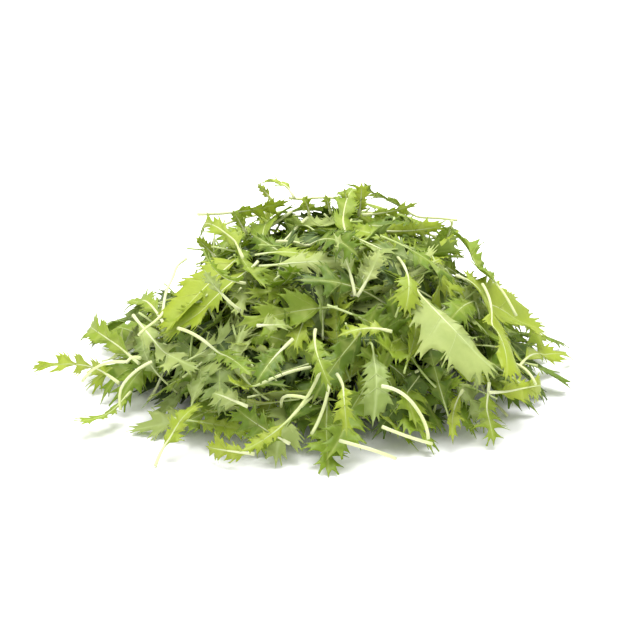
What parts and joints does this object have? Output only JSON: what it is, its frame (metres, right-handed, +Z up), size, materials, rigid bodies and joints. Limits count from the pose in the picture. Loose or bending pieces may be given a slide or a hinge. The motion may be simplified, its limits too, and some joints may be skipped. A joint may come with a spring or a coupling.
{
  "type": "mizuna bunch",
  "caption": "Loose heap of cut mizuna leaves with jagged lobed blades and thin pale stalks, lying on a flat surface.",
  "frame": {"origin": "on the resting surface, under the middle of the heap", "axes": "+Z up, +X along the heap's longer side, -Y towards the side seen in front"},
  "size_m": [0.3893, 0.3341, 0.1336],
  "materials": {
    "leaf_deep": "satin leaf, deep green",
    "leaf_green": "satin leaf, mid green",
    "leaf_bright": "satin leaf, bright yellow-green",
    "leaf_pale_back": "matt pale back of a leaf",
    "stalk_pale": "smooth pale stalk"
  },
  "bodies": {
    "root": {"inner_leaves": "leaf_green", "leaf_behind_kink": "leaf_pale_back", "leaf_big_pale": "leaf_pale_back", "leaf_comb": "leaf_bright", "leaf_curled_foot": "leaf_bright", "leaf_curled_left": "leaf_bright", "leaf_cut_stalk": "leaf_bright", "leaf_dark_front": "leaf_deep", "leaf_dull_left": "leaf_pale_back", "leaf_far_left": "leaf_bright", "leaf_folded_pale": "leaf_pale_back", "leaf_front_foot": "leaf_bright", "leaf_hanging_front": "leaf_bright", "leaf_left_bright": "leaf_bright", "leaf_left_foot": "leaf_green", "leaf_left_front": "leaf_bright", "leaf_left_pale": "leaf_pale_back", "leaf_left_shoulder": "leaf_green", "leaf_left_tip": "leaf_green", "leaf_loose_1": "leaf_deep", "leaf_loose_2": "leaf_green", "leaf_loose_3": "leaf_bright", "leaf_loose_4": "leaf_deep", "leaf_loose_5": "leaf_green", "leaf_loose_6": "leaf_bright", "leaf_loose_7": "leaf_deep", "leaf_middle": "leaf_green", "leaf_middle_left": "leaf_green", "leaf_middle_low": "leaf_deep", "leaf_middle_right": "leaf_green", "leaf_narrow_right": "leaf_bright", "leaf_pale_front": "leaf_pale_back", "leaf_right_bright": "leaf_bright", "leaf_right_corner": "leaf_bright", "leaf_right_foot": "leaf_green", "leaf_right_low": "leaf_bright", "leaf_round_pale": "leaf_pale_back", "leaf_small_right": "leaf_bright", "leaf_top_curl": "leaf_bright", "leaf_top_long": "leaf_green", "leaf_top_upright": "leaf_green", "leaf_upright_stalk": "leaf_bright", "leaf_yellow": "leaf_bright", "stalk_bent": "stalk_pale", "stalk_foot_middle": "stalk_pale", "stalk_foot_right": "stalk_pale", "stalk_front": "stalk_pale", "stalk_front_short": "stalk_pale", "stalk_left_high": "stalk_pale", "stalk_left_low": "stalk_pale", "stalk_left_out": "stalk_pale", "stalk_middle": "stalk_pale", "stalk_right_low": "stalk_pale", "stalk_top_left": "stalk_pale"}
  },
  "joints": []
}
